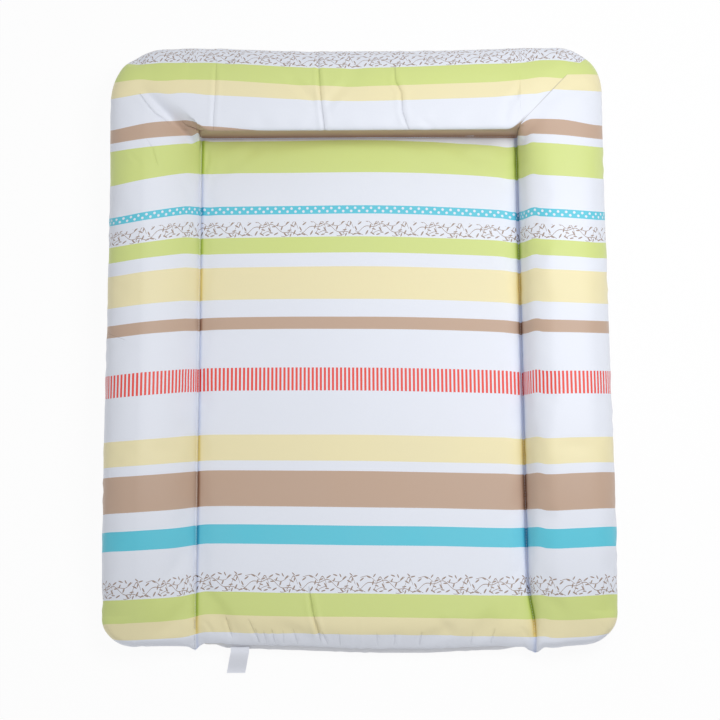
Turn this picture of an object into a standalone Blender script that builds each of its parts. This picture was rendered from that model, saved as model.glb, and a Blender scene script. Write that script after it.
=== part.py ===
"""Padded baby changing mat with raised bolsters on its two long sides and at its head.

A top cover and a back cover are sewn together round the edge with a turned seam. Channel seams
divide the bag into a thin centre pad and three round bolsters, each stuffed with its own fill.
Metres, +Z up, +Y towards the head. The origin is the middle of the flat underside.
"""

import math

import bmesh
import bpy
from mathutils import Matrix, Vector

# Overall sizes of the sewn mat
MAT_LENGTH = 0.850
MAT_WIDTH = 0.700
HEAD_CORNER_RADIUS = 0.068
FOOT_CORNER_RADIUS = 0.042

# Bolsters
BOLSTER_WIDTH = 0.124
BOLSTER_HEIGHT = 0.088
BOLSTER_CROWN_SHARE = 0.49
FOOT_END_LENGTH = 0.260
FOOT_END_POWER = 0.42

# Centre pad
PAD_HEIGHT = 0.034
PAD_EDGE_LENGTH = 0.045
PAD_DOME_SHARE = 0.16

# Turned seam that joins the two covers round the edge
SIDE_SEAM_HEIGHT = 0.038
FOOT_SEAM_HEIGHT = 0.014
SEAM_FALL_LENGTH = 0.140
SEAM_LEVEL_LENGTH = 0.010
SEAM_ALLOWANCE = 0.008

# Channel seams that divide the bag
CHANNEL_WIDTH = 0.003
CHANNEL_LIFT = 0.008
CHANNEL_LIFT_REACH = 0.030
CHANNEL_END_LENGTH = 0.018

# Underside, rounded up to the edge seam
BACK_SIDE_ROUND = 0.036
BACK_FOOT_ROUND = 0.020

# Cloth, and the space left between touching pieces
CLOTH_THICKNESS = 0.001
CLEARANCE = 0.0003
SHARPEST_FOLD_SHARE = 0.45

# Care label sewn into the foot seam
LABEL_WIDTH = 0.025
LABEL_THICKNESS = 0.0004
LABEL_TUCK = 0.006
LABEL_REACH = 0.028
LABEL_DROP = 0.0125
LABEL_FROM_CHANNEL = 0.063
LABEL_LEAN = 0.006

# Edges turned by more than this look sharp
SHARP_ANGLE = math.radians(50)

# How finely the cloth is divided
OUTER_STEPS = 4
INNER_STEPS = 3
PAD_EDGE_STEPS = 3
FOOT_END_STEPS = 5
FOOT_END_SPACING = 2.4
PAD_FLAT_SHARES = (0.5,)
LABEL_STEPS = 10

# Finishes: colour, roughness, metallic
FINISHES = {
    "top_cover": ((0.73, 0.77, 0.80), 0.45, 0.0),
    "back_cover": ((0.80, 0.81, 0.83), 0.50, 0.0),
    "centre_pad": ((0.86, 0.86, 0.84), 0.90, 0.0),
    "left_bolster_fill": ((0.84, 0.84, 0.82), 0.90, 0.0),
    "right_bolster_fill": ((0.84, 0.84, 0.82), 0.90, 0.0),
    "head_bolster_fill": ((0.82, 0.82, 0.80), 0.90, 0.0),
    "care_label": ((0.60, 0.62, 0.72), 0.60, 0.0),
}

# Sizes that follow from those above
HALF_WIDTH = MAT_WIDTH / 2
HALF_LENGTH = MAT_LENGTH / 2
HALF_CHANNEL = CHANNEL_WIDTH / 2
SIDE_CHANNEL = HALF_WIDTH - BOLSTER_WIDTH
HEAD_CHANNEL = HALF_LENGTH - BOLSTER_WIDTH
PAD_HALF_WIDTH = SIDE_CHANNEL - HALF_CHANNEL
PAD_HEAD_END = HEAD_CHANNEL - HALF_CHANNEL
BOLSTER_SPAN = BOLSTER_WIDTH - HALF_CHANNEL
INNER_SPAN = BOLSTER_SPAN * BOLSTER_CROWN_SHARE
OUTER_SPAN = BOLSTER_SPAN - INNER_SPAN
PAD_FLAT_END = PAD_HEAD_END - PAD_EDGE_LENGTH
CHANNEL_STACK = 2 * CLOTH_THICKNESS + CLEARANCE
FILL_OFFSET = CLOTH_THICKNESS + CLEARANCE
LABEL_MIDDLE = LABEL_FROM_CHANNEL - SIDE_CHANNEL


def arc(share):
    """Height of a quarter circle at this share of its run, both from 0 to 1."""
    share = min(max(share, 0.0), 1.0)
    return math.sqrt(1 - (1 - share) ** 2)


def ease(share):
    """Smooth step from 0 to 1."""
    share = min(max(share, 0.0), 1.0)
    return share * share * (3 - 2 * share)


def bolster_stations(channel_edge):
    """Distances from the middle, out over a bolster, closer together where it curves down."""
    inner = [
        channel_edge + INNER_SPAN * (1 - math.cos(math.pi / 2 * step / INNER_STEPS))
        for step in range(1, INNER_STEPS + 1)
    ]
    outer = [
        inner[-1] + OUTER_SPAN * math.sin(math.pi / 2 * step / OUTER_STEPS)
        for step in range(1, OUTER_STEPS + 1)
    ]
    return inner + outer


def edge_stations(length, steps):
    """Distances from an edge over its rounding, without the edge itself."""
    return [
        length * (1 - math.cos(math.pi / 2 * step / steps))
        for step in range(1, steps + 1)
    ]


def column_stations():
    """Places across the right half, from the middle line to the rim."""
    shoulders = [PAD_HALF_WIDTH - run for run in edge_stations(PAD_EDGE_LENGTH, PAD_EDGE_STEPS)]
    middle = [0.0, shoulders[-1] / 2]
    channel = [PAD_HALF_WIDTH, SIDE_CHANNEL + HALF_CHANNEL]
    return middle + shoulders[::-1] + channel + bolster_stations(channel[-1])


def row_stations():
    """Places along the mat, from the rim at the foot to the rim at the head."""
    foot = [
        FOOT_END_LENGTH * (step / FOOT_END_STEPS) ** FOOT_END_SPACING - HALF_LENGTH
        for step in range(FOOT_END_STEPS + 1)
    ]
    flat = [foot[-1] + (PAD_FLAT_END - foot[-1]) * share for share in PAD_FLAT_SHARES]
    shoulders = [PAD_HEAD_END - run for run in edge_stations(PAD_EDGE_LENGTH, PAD_EDGE_STEPS)]
    channel = [PAD_HEAD_END, HEAD_CHANNEL + HALF_CHANNEL]
    return foot + flat + shoulders[::-1] + channel + bolster_stations(channel[-1])


def seam_height(run):
    """Height of the edge seam, at this distance from the foot edge."""
    fall = ease((run - SEAM_LEVEL_LENGTH) / SEAM_FALL_LENGTH)
    return FOOT_SEAM_HEIGHT + (SIDE_SEAM_HEIGHT - FOOT_SEAM_HEIGHT) * fall


def channel_distance(across, along):
    """(distance out over a bolster, distance in over the pad) from the nearest channel seam."""
    outwards = max(across - SIDE_CHANNEL, along - HEAD_CHANNEL) - HALF_CHANNEL
    inwards = min(PAD_HALF_WIDTH - across, PAD_HEAD_END - along)
    return max(outwards, 0.0), max(inwards, 0.0)


def back_height(across, along):
    """Height of the underside: flat, lifted along the channels and rounded up to the rim."""
    run = along + HALF_LENGTH
    side = (across - HALF_WIDTH) / BACK_SIDE_ROUND + 1
    head = (along - HALF_LENGTH) / BACK_SIDE_ROUND + 1
    foot = 1 - run / BACK_FOOT_ROUND
    rim_share = 1 - arc(1 - min(max(side, head, foot, 0.0), 1.0))
    outwards, inwards = channel_distance(across, along)
    nearness = max(1 - (outwards + inwards) / CHANNEL_LIFT_REACH, 0.0)
    lift = CHANNEL_LIFT * nearness**2 * (1 - rim_share)
    return seam_height(run) * rim_share - CLEARANCE / 2 * rim_share + lift


def top_height(across, along):
    """Height of the upper surface over the pad, the channels and the bolsters."""
    run = along + HALF_LENGTH
    seam_top = seam_height(run) + CLEARANCE / 2
    foot_top = FOOT_SEAM_HEIGHT + CLEARANCE / 2
    pad_top = foot_top + (PAD_HEIGHT - foot_top) * arc(run / PAD_EDGE_LENGTH)
    swell = min(run / FOOT_END_LENGTH, 1.0) ** FOOT_END_POWER
    crown = foot_top + (BOLSTER_HEIGHT - foot_top) * swell
    sewn = back_height(across, along) + CHANNEL_STACK
    channel_end = ease((run - SEAM_ALLOWANCE) / (CHANNEL_END_LENGTH - SEAM_ALLOWANCE))
    valley = pad_top + (sewn - pad_top) * channel_end
    outwards, inwards = channel_distance(across, along)
    if outwards > INNER_SPAN:
        rise = arc(1 - (outwards - INNER_SPAN) / OUTER_SPAN)
        return seam_top + (crown - seam_top) * rise
    if outwards > 0:
        return valley + (crown - valley) * arc(outwards / INNER_SPAN)
    dome = 1 - PAD_DOME_SHARE * (across / PAD_HALF_WIDTH) ** 2
    return valley + (pad_top - valley) * arc(inwards / PAD_EDGE_LENGTH) * dome


def rounded_corner(across, along):
    """The plan point moved in where the mat's corner is round."""
    radius = HEAD_CORNER_RADIUS if along > 0 else FOOT_CORNER_RADIUS
    over = Vector((across - HALF_WIDTH + radius, abs(along) - HALF_LENGTH + radius))
    if min(over) <= 0:
        return Vector((across, along))
    over *= max(over) / over.length
    out = math.copysign(HALF_LENGTH - radius + over.y, along)
    return Vector((HALF_WIDTH - radius + over.x, out))


def cloth_point(height, across, along, tucked, allowance):
    """A point of a cover. The tucked border runs back inside the edge seam."""
    if not tucked:
        return Vector((*rounded_corner(across, along), height(across, along)))
    run = along + HALF_LENGTH
    step = CLEARANCE / 2 if height is top_height else -CLEARANCE / 2
    across = min(across, HALF_WIDTH - allowance)
    along = min(max(along, allowance - HALF_LENGTH), HALF_LENGTH - allowance)
    return Vector((*rounded_corner(across, along), seam_height(run) + step))


def half_cover(height, allowance=SEAM_ALLOWANCE):
    """The right half of a cover as one open surface, its tucked border included."""
    columns = column_stations()
    rows = row_stations()
    column_count = len(columns) + 1
    row_count = len(rows) + 2
    cloth = bmesh.new()
    bmesh.ops.create_grid(cloth, x_segments=column_count - 1, y_segments=row_count - 1, size=1)
    cloth.verts.ensure_lookup_table()
    column_of = cloth.verts.layers.int.new("column")
    row_of = cloth.verts.layers.int.new("row")
    tucked_of = cloth.verts.layers.int.new("tucked")
    for point in cloth.verts:
        column = round((point.co.x + 1) / 2 * (column_count - 1))
        row = round((point.co.y + 1) / 2 * (row_count - 1)) - 1
        tucked = column == len(columns) or row in (-1, len(rows))
        across = columns[min(column, len(columns) - 1)]
        along = rows[min(max(row, 0), len(rows) - 1)]
        point[column_of] = column
        point[row_of] = row
        point[tucked_of] = tucked
        point.co = cloth_point(height, across, along, tucked, allowance)
    corners = [
        face
        for face in cloth.faces
        if all(point[column_of] >= len(columns) - 1 for point in face.verts)
        and (
            all(point[row_of] <= 0 for point in face.verts)
            or all(point[row_of] >= len(rows) - 1 for point in face.verts)
        )
    ]
    bmesh.ops.delete(cloth, geom=corners, context="FACES")
    bmesh.ops.triangulate(cloth, faces=cloth.faces[:], quad_method="FIXED")
    if height is back_height:
        bmesh.ops.reverse_faces(cloth, faces=cloth.faces[:])
    return cloth, tucked_of


def close_gathers(cloth):
    """Joins the points that the tucked border brings together at the corners."""
    bmesh.ops.remove_doubles(cloth, verts=cloth.verts[:], dist=CLEARANCE / 10)
    bmesh.ops.dissolve_degenerate(cloth, edges=cloth.edges[:], dist=CLEARANCE / 10)


def collection(name):
    made = bpy.data.collections.new(name)
    bpy.context.scene.collection.children.link(made)
    return made


def finish(name, mesh_source, home):
    """Makes the named object from a bmesh, with its own material."""
    mesh = bpy.data.meshes.new(name)
    mesh_source.to_mesh(mesh)
    mesh_source.free()
    mesh.shade_smooth()
    mesh.set_sharp_from_angle(angle=SHARP_ANGLE)
    made = bpy.data.objects.new(name, mesh)
    home.objects.link(made)
    colour, roughness, metallic = FINISHES[name]
    material = bpy.data.materials.new(name)
    material.use_nodes = True
    shader = material.node_tree.nodes["Principled BSDF"]
    shader.inputs["Base Color"].default_value = (*colour, 1)
    shader.inputs["Roughness"].default_value = roughness
    shader.inputs["Metallic"].default_value = metallic
    mesh.materials.append(material)
    return made


def add_mirror(made):
    mirror = made.modifiers.new("both_halves", "MIRROR")
    mirror.use_axis = (True, False, False)
    mirror.use_clip = True
    mirror.merge_threshold = CLEARANCE / 10
    return mirror


def add_thickness(made, thickness, offset):
    wall = made.modifiers.new("cloth", "SOLIDIFY")
    wall.thickness = thickness
    wall.offset = offset
    wall.use_even_offset = True
    return wall


def make_cover(name, height, home):
    """A cover is the half surface, mirrored and given the cloth's thickness inwards."""
    cloth, _ = half_cover(height)
    close_gathers(cloth)
    made = finish(name, cloth, home)
    add_mirror(made)
    add_thickness(made, CLOTH_THICKNESS, -1)
    return made


def place_key(point, tucked):
    """Names a point of a cover by its place in plan, and by whether it is on the tucked border."""
    return bool(point[tucked]), round(point.co.x / CLEARANCE), round(point.co.y / CLEARANCE)


def pushed_in(height):
    """The half surface that a fill has against this cover, and where each point of it lies."""
    cloth, tucked = half_cover(height, SEAM_ALLOWANCE + CLEARANCE)
    close_gathers(cloth)
    cloth.normal_update()
    keys = [place_key(point, tucked) for point in cloth.verts]
    targets = []
    for point in cloth.verts:
        steepest = min(point.normal.dot(face.normal) for face in point.link_faces)
        push = FILL_OFFSET / max(steepest, SHARPEST_FOLD_SHARE)
        target = point.co - point.normal * push
        target.x = 0 if point.co.x < CLEARANCE else target.x
        targets.append(target)
    for point, target in zip(cloth.verts, targets):
        point.co = target
    return cloth, keys, targets


def face_outwards(body):
    bmesh.ops.recalc_face_normals(body, faces=body.faces[:])
    if body.calc_volume(signed=True) < 0:
        bmesh.ops.reverse_faces(body, faces=body.faces[:])


def fill_body(first_column, last_column, first_row, last_row):
    """A closed body between the covers over these columns and rows, open at the middle line."""
    body, keys, _ = pushed_in(top_height)
    under, under_keys, lower = pushed_in(back_height)
    under.free()
    lower_of = dict(zip(under_keys, lower))
    below = body.verts.layers.float_vector.new("below")
    for point, key in zip(body.verts, keys):
        point[below] = lower_of[key]
    column_of = body.verts.layers.int["column"]
    row_of = body.verts.layers.int["row"]
    outside = [
        point
        for point in body.verts
        if not (
            first_column <= point[column_of] <= last_column
            and first_row <= point[row_of] <= last_row
        )
    ]
    bmesh.ops.delete(body, geom=outside, context="VERTS")
    shell = bmesh.ops.extrude_face_region(body, geom=body.faces[:], use_keep_orig=True)
    for item in shell["geom"]:
        if isinstance(item, bmesh.types.BMVert):
            item.co = item[below]
    middle = [face for face in body.faces if all(p.co.x < CLEARANCE / 10 for p in face.verts)]
    bmesh.ops.delete(body, geom=middle, context="FACES")
    bmesh.ops.triangulate(body, faces=body.faces[:], quad_method="FIXED")
    face_outwards(body)
    return body


def cut_mitre(body, keep_side):
    """Cuts the corner end of a bolster on the vertical plane of the mitre seam."""
    normal = Vector((1, -1, 0)).normalized() if keep_side else Vector((-1, 1, 0)).normalized()
    corner = Vector((SIDE_CHANNEL, HEAD_CHANNEL, 0)) + normal * CLEARANCE / 2
    everything = body.verts[:] + body.edges[:] + body.faces[:]
    cut = bmesh.ops.bisect_plane(
        body,
        geom=everything,
        plane_co=corner,
        plane_no=normal,
        dist=CLEARANCE / 1000,
        clear_inner=True,
    )
    rim = [item for item in cut["geom_cut"] if isinstance(item, bmesh.types.BMEdge)]
    bmesh.ops.contextual_create(body, geom=rim)
    face_outwards(body)


def make_centre_pad(home):
    last_column = column_stations().index(PAD_HALF_WIDTH) - 1
    last_row = row_stations().index(PAD_HEAD_END) - 1
    made = finish("centre_pad", fill_body(0, last_column, -1, last_row), home)
    add_mirror(made)
    return made


def make_head_fill(home):
    first_row = row_stations().index(HEAD_CHANNEL + HALF_CHANNEL) + 1
    body = fill_body(0, len(column_stations()), first_row, len(row_stations()))
    cut_mitre(body, keep_side=False)
    made = finish("head_bolster_fill", body, home)
    add_mirror(made)
    return made


def make_side_fill(name, hand, home):
    first_column = column_stations().index(SIDE_CHANNEL + HALF_CHANNEL) + 1
    body = fill_body(first_column, len(column_stations()), -1, len(row_stations()))
    cut_mitre(body, keep_side=True)
    across = Matrix.Scale(hand, 4, Vector((1, 0, 0)))
    bmesh.ops.transform(body, matrix=across, verts=body.verts[:])
    face_outwards(body)
    return finish(name, body, home)


def make_label(home):
    """A strip of tape that comes out of the foot seam and droops to the surface below."""
    level = FOOT_SEAM_HEIGHT - CLEARANCE / 2 + CLEARANCE + LABEL_THICKNESS / 2
    strip = bmesh.new()
    bmesh.ops.create_grid(strip, x_segments=1, y_segments=LABEL_STEPS, size=1)
    whole = LABEL_TUCK + LABEL_REACH
    for point in strip.verts:
        run = (1 - point.co.y) / 2 * whole
        out = max(run - LABEL_TUCK, 0.0) / LABEL_REACH
        across = LABEL_MIDDLE + point.co.x * LABEL_WIDTH / 2 - LABEL_LEAN * out
        along = LABEL_TUCK - HALF_LENGTH - run
        point.co = Vector((across, along, level - LABEL_DROP * ease(out)))
    made = finish("care_label", strip, home)
    add_thickness(made, LABEL_THICKNESS, 0)
    return made


def cut_label_slot(cover, home):
    """A shallow slot in the tucked border of the top cover, where the label is sewn in."""
    floor = FOOT_SEAM_HEIGHT - CLEARANCE / 2
    slot = Vector((LABEL_WIDTH, 0, LABEL_THICKNESS)) + Vector((2, 0, 2)) * CLEARANCE
    slot.y = 2 * (LABEL_TUCK + CLEARANCE)
    bpy.ops.mesh.primitive_cube_add(size=1)
    cutter = bpy.context.active_object
    cutter.name = "label_slot_cutter"
    cutter.data.transform(Matrix.Diagonal((*slot, 1)))
    cutter.location = (LABEL_MIDDLE, -HALF_LENGTH, floor + slot.z / 2)
    cutter.hide_render = True
    cutter.display_type = "WIRE"
    for holder in cutter.users_collection[:]:
        holder.objects.unlink(cutter)
    home.objects.link(cutter)
    cut = cover.modifiers.new("label_slot", "BOOLEAN")
    cut.operation = "DIFFERENCE"
    cut.solver = "EXACT"
    cut.object = cutter


def main():
    for old in bpy.data.objects[:]:
        bpy.data.objects.remove(old, do_unlink=True)
    parts = collection("changing_mat")
    cutters = collection("cutters")
    top = make_cover("top_cover", top_height, parts)
    make_cover("back_cover", back_height, parts)
    make_centre_pad(parts)
    make_side_fill("left_bolster_fill", -1, parts)
    make_side_fill("right_bolster_fill", 1, parts)
    make_head_fill(parts)
    make_label(parts)
    cut_label_slot(top, cutters)


main()
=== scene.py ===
import math

import bmesh
import bpy
import numpy as np
from mathutils import Matrix, Vector


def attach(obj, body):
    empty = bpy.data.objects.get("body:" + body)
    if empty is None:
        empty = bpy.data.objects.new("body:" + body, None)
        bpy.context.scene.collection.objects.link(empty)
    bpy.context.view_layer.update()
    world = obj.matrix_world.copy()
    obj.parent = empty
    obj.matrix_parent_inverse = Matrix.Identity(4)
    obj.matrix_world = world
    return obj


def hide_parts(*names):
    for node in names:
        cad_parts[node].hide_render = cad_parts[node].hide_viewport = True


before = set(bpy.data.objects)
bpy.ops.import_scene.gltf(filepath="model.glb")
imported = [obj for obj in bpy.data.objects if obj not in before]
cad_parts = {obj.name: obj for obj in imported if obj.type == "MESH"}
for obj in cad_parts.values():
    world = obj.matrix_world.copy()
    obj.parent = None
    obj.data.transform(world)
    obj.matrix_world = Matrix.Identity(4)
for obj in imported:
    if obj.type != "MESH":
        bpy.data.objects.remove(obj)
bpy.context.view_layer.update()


# shader helpers

def tone(red, green, blue):
    # a colour as a paint chart gives it, 0 to 255, for a shader socket
    parts = [c / 255 for c in (red, green, blue)]
    return tuple(c / 12.92 if c < .04045 else ((c + .055) / 1.055) ** 2.4 for c in parts) + (1,)


class Wire:
    # one socket of a material, with plain arithmetic
    def __init__(self, look, socket):
        self.look, self.socket = look, socket

    def calc(self, operation, *others, first=None):
        values = [self if first is None else first, *others]
        made = self.look.node("ShaderNodeMath", {"operation": operation}, dict(enumerate(values)))
        return made[0]

    def __add__(self, other): return self.calc("ADD", other)
    def __radd__(self, other): return self.calc("ADD", other)
    def __sub__(self, other): return self.calc("SUBTRACT", other)
    def __rsub__(self, other): return self.calc("SUBTRACT", self, first=other)
    def __mul__(self, other): return self.calc("MULTIPLY", other)
    def __rmul__(self, other): return self.calc("MULTIPLY", other)
    def __truediv__(self, other): return self.calc("DIVIDE", other)
    def __pow__(self, other): return self.calc("POWER", other)
    def __gt__(self, other): return self.calc("GREATER_THAN", other)
    def __lt__(self, other): return self.calc("LESS_THAN", other)
    def __neg__(self): return self.calc("MULTIPLY", -1)
    def __abs__(self): return self.calc("ABSOLUTE")
    def sin(self): return self.calc("SINE")
    def part(self): return self.calc("FRACT")
    def lowest(self, other): return self.calc("MINIMUM", other)
    def highest(self, other): return self.calc("MAXIMUM", other)
    def between(self, low, high): return (self > low) * (self < high)
    def held(self): return self.highest(0).lowest(1)
    def wave(self, pitch): return (self * (2 * math.pi / pitch)).sin()


class Look:
    # a material that is filled in from its shader's own sockets
    def __init__(self, name, **fixed):
        self.material = bpy.data.materials.new(name)
        self.material.use_nodes = True
        self.tree = self.material.node_tree
        self.shader = self.tree.nodes["Principled BSDF"]
        for socket, value in fixed.items():
            self.shader.inputs[socket.replace("_", " ")].default_value = value

    def node(self, kind, settings=None, sockets=None):
        made = self.tree.nodes.new(kind)
        for setting, value in (settings or {}).items():
            setattr(made, setting, value)
        for socket, value in (sockets or {}).items():
            self.feed(made.inputs[socket], value)
        return [Wire(self, socket) for socket in made.outputs]

    def feed(self, socket, value):
        if isinstance(value, Wire):
            self.tree.links.new(value.socket, socket)
        else:
            socket.default_value = value

    def mix(self, share, below, above):
        return self.node("ShaderNodeMix", {"data_type": "RGBA"}, {0: share, 6: below, 7: above})[2]

    def noise(self, place, scale, detail=2, rough=.5):
        return self.node("ShaderNodeTexNoise", {}, {"Vector": place, "Scale": scale, "Detail": detail,
            "Roughness": rough})[0]

    def stretched(self, place, scale):
        return self.node("ShaderNodeMapping", {}, {"Vector": place, "Scale": scale})[0]

    def bump(self, height, strength, distance, under=None):
        sockets = {"Height": height, "Strength": strength, "Distance": distance}
        return self.node("ShaderNodeBump", {}, sockets if under is None else {**sockets, "Normal": under})[0]

    def finish(self, colour, roughness, normal=None):
        self.feed(self.shader.inputs["Base Color"], colour)
        self.feed(self.shader.inputs["Roughness"], roughness)
        if normal is not None:
            self.feed(self.shader.inputs["Normal"], normal)
        return self.material


# camera

camera = {"tilt": 11.802, "yaw": -.193, "roll": -.160, "aim": (.0024, -.0187, 0), "distance": 2.4079,
    "lens": 85.12}


def placeCamera():
    tilt, yaw, roll = (math.radians(camera[k]) for k in ("tilt", "yaw", "roll"))
    turn = Matrix.Rotation(yaw, 3, "Z")
    ahead = turn @ Vector((0, math.sin(tilt), -math.cos(tilt)))
    up = turn @ Vector((0, math.cos(tilt), math.sin(tilt)))
    right = turn @ Vector((1, 0, 0))
    right, up = (math.cos(roll) * right + math.sin(roll) * up,
        math.cos(roll) * up - math.sin(roll) * right)
    bpy.ops.object.camera_add()
    made = bpy.context.object
    made.name = "photoCamera"
    made.matrix_world = Matrix.Translation(Vector(camera["aim"]) - ahead * camera["distance"]) @ \
        Matrix((right, up, -ahead)).transposed().to_4x4()
    made.data.lens, made.data.sensor_width = camera["lens"], 36
    made.data.clip_start, made.data.clip_end = .05, 30
    bpy.context.scene.camera = made


placeCamera()
print("camera placed")


# the form of the mat, in metres
# x runs across the mat and y from the foot edge to the head, on a square plan with its corners
# not yet rounded. A piece that follows the form asks for points on it.

mat = {"halfWidth": .350, "halfLength": .425, "bolster": .124, "crown": .086, "pad": .034,
    "sideSeam": .038, "footSeam": .014, "seamFall": .140, "seamLevel": .010,
    "headCorner": (.080, .066), "footCorner": (.042, .047),
    "endFace": .025, "endRound": .009, "footEnd": .260, "footFall": 1.6, "padEnd": .045,
    "channel": .003, "channelStart": .004, "channelRun": .016, "padDome": .16,
    # for the left, right and head bolster: the channel's floor, the inner side up to the crown, the
    # outer side down to the seam, and the pad's own bank
    "channelTop": (.030, .027, .030), "innerFull": (1.45, 2.4, 8.0), "crownShare": (.60, .32, .42),
    "lean": (0, 0, .0172), "outerFull": (4.0, 3.4, 2.6), "outerSag": (.003, .002, .0),
    "bank": (.005, .005, .005), "bankFull": (2.4, 2.4, 2.2),
    "cornerBlend": .05, "softCorner": 4, "softReach": .075,
    # the back sheet
    "sideRound": .036, "footRound": .020, "footBulge": .0062, "bulgeWithin": .210, "bulgeRun": .03,
    "channelLift": .008, "liftReach": .030}
side = mat["halfWidth"] - mat["bolster"]
head = mat["halfLength"] - mat["bolster"]
gap = mat["channel"] / 2
sectionAt = -.05        # where along the mat its cross section is measured
sheetGap = .0006        # keeps each cover off the middle of the seam


def arc(t, full=2.0):
    # a quarter round, or a fuller one, from 0 up to 1
    return np.clip(1 - (1 - np.clip(t, 0, 1)) ** full, 0, 1) ** (1 / full)


def ease(t):
    t = np.clip(t, 0, 1)
    return t * t * (3 - 2 * t)


def hill(distance, width):
    return np.exp(-(distance / width) ** 2)


def seamAt(ys):
    run = ys + mat["halfLength"]
    return mat["footSeam"] + (mat["sideSeam"] - mat["footSeam"]) * \
        ease((run - mat["seamLevel"]) / mat["seamFall"])


def outOver(xs, ys):
    # how far out over the side and over the head bolster a point is, from the channels
    return np.abs(xs) - side - gap, ys - head - gap


def perBolster(key, xs, headShare):
    # a measure given for the left, right and head bolster, at each point
    left, right, atHead = mat[key]
    beside = np.where(xs < 0, left, right)
    return beside + (atHead - beside) * headShare


def topForm(xs, ys):
    run = ys + mat["halfLength"]
    seam = seamAt(ys)
    sideOut, headOut = outOver(xs, ys)
    headShare = ease((headOut - sideOut) / mat["cornerBlend"] + .5)
    floor, full, share, outer, most, bank, bankFull, outerSag = (perBolster(key, xs, headShare)
        for key in ("channelTop", "innerFull", "crownShare", "outerFull", "lean", "bank", "bankFull",
        "outerSag"))
    padTop = mat["footSeam"] + (mat["pad"] - mat["footSeam"]) * arc(run / mat["padEnd"])
    # a bolster ends in a steep stuffed face at the foot, and rises slowly from there
    slow = mat["crown"] - mat["footSeam"] - mat["endFace"]
    crown = mat["footSeam"] + mat["endFace"] * arc(run / mat["endRound"]) + \
        slow * (1 - (1 - np.clip(run / mat["footEnd"], 0, 1)) ** mat["footFall"])
    valley = padTop + (floor - padTop) * ease((run - mat["channelStart"]) / mat["channelRun"])
    out = np.maximum(sideOut, headOut)
    # the left head corner turns softly, the right one on its seam
    a, b, n = np.clip(sideOut, 0, None), np.clip(headOut, 0, None), mat["softCorner"]
    turned = (a ** n + b ** n) ** (1 / n) - np.maximum(a, b)
    out = out + turned * (xs < 0) * (1 - ease(out / mat["softReach"]))
    inwards = np.minimum(side - gap - np.abs(xs), head - gap - ys)
    span = mat["bolster"] - gap
    inner = span * share
    outwards = np.clip((out - inner) / (span - inner), 0, 1)
    upwards = np.clip(out, 0, inner) / inner
    rise = np.where(out > inner,
        seam + (crown - seam - outerSag * outwards ** 2) * arc(1 - outwards, outer),
        valley + (crown - valley) * arc(upwards, full))
    dome = 1 - mat["padDome"] * (xs / side) ** 2
    pad = valley + (padTop - valley) * dome * arc(np.clip(inwards, 0, None) / bank, bankFull)
    z = np.where(out > 0, rise, np.where(inwards > 0, pad, valley))
    # the stuffed inner faces lean over the channels
    swing = np.arccos(1 - upwards)
    lean = most * np.sin(2 * swing) * (crown - valley) / (mat["crown"] - floor) * (out > 0)
    return z, lean * (1 - headShare), lean * headShare


def cornerRadii(xs):
    # of the head and of the foot corner on each point's own side
    return np.where(xs < 0, *mat["headCorner"]), np.where(xs < 0, *mat["footCorner"])


def footTurn(xs, ys):
    # in a foot corner: the way in from the rim, and the share of the way round from foot to side
    radius = cornerRadii(xs)[1]
    across, along = np.abs(xs) - mat["halfWidth"] + radius, -ys - mat["halfLength"] + radius
    corner = (across > 0) & (along > 0)
    share = ease(np.arctan2(np.clip(across, 0, 1), np.clip(along, 1e-9, 1)) * 2 / np.pi)
    return corner, radius - np.maximum(across, along), share, radius


def roundedForm(xs, ys):
    z, leanAcross, leanAlong = topForm(xs, ys)
    corner, inwards, share, radius = footTurn(xs, ys)
    atFoot = topForm(np.sign(xs) * (mat["halfWidth"] - radius), inwards - mat["halfLength"])[0]
    atSide = topForm(np.sign(xs) * (mat["halfWidth"] - inwards), radius - mat["halfLength"])[0]
    return np.where(corner, atFoot + (atSide - atFoot) * share, z), leanAcross, leanAlong


def roundCorners(xs, ys):
    x, y = xs.copy(), ys.copy()
    for radius, way in zip(cornerRadii(xs), (1, -1)):
        across = np.abs(xs) - mat["halfWidth"] + radius
        along = way * ys - mat["halfLength"] + radius
        corner = (across > 0) & (along > 0)
        pull = np.where(corner, np.maximum(across, along) /
            np.maximum(np.hypot(across, along), 1e-9), 1)
        x = np.where(corner, np.sign(xs) * (mat["halfWidth"] - radius + across * pull), x)
        y = np.where(corner, way * (mat["halfLength"] - radius + along * pull), y)
    return x, y


# where the mat on show lies a little off its plan: the channels run out at the foot, the bolsters
# end short of the pad's foot edge, and the head is fuller at its corners
settled = {"leftChannel": .003, "rightChannel": .0022, "spread": .05,
    "footFlare": .0085, "flareFrom": -.325, "flareRun": .08, "liftFrom": -.33, "liftRun": .08,
    "footAt": (-.30, -.24, -.215, -.16, -.08, 0, .10, .18, .225, .25, .31),
    "footShort": (.0065, .0065, .011, .008, .0055, .0015, .001, .0045, .0015, .001, .0055),
    "headFull": (.0050, .0015), "headRun": (.11, .14), "headAt": .21, "headRise": .001,
    "riseFrom": .31, "riseRun": .10}


def footLift(x, y):
    # how much the foot edge is drawn up, at each place along it
    share = ease((settled["liftFrom"] - y) / settled["liftRun"])
    return np.interp(x, settled["footAt"], settled["footShort"]) * share


def settle(x, y):
    atFoot = ease((settled["flareFrom"] - y) / settled["flareRun"])
    beside = hill(np.abs(x) - side, settled["spread"])
    across = np.where(x < 0, settled["leftChannel"], settled["rightChannel"] + settled["footFlare"] * atFoot)
    y = y + footLift(x, y)
    x = x + across * beside
    full = np.where(x < 0, *settled["headFull"]) * hill(np.abs(x) - settled["headAt"],
        np.where(x < 0, *settled["headRun"])) + settled["headRise"]
    return x, y + full * ease((y - settled["riseFrom"]) / settled["riseRun"])


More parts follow.
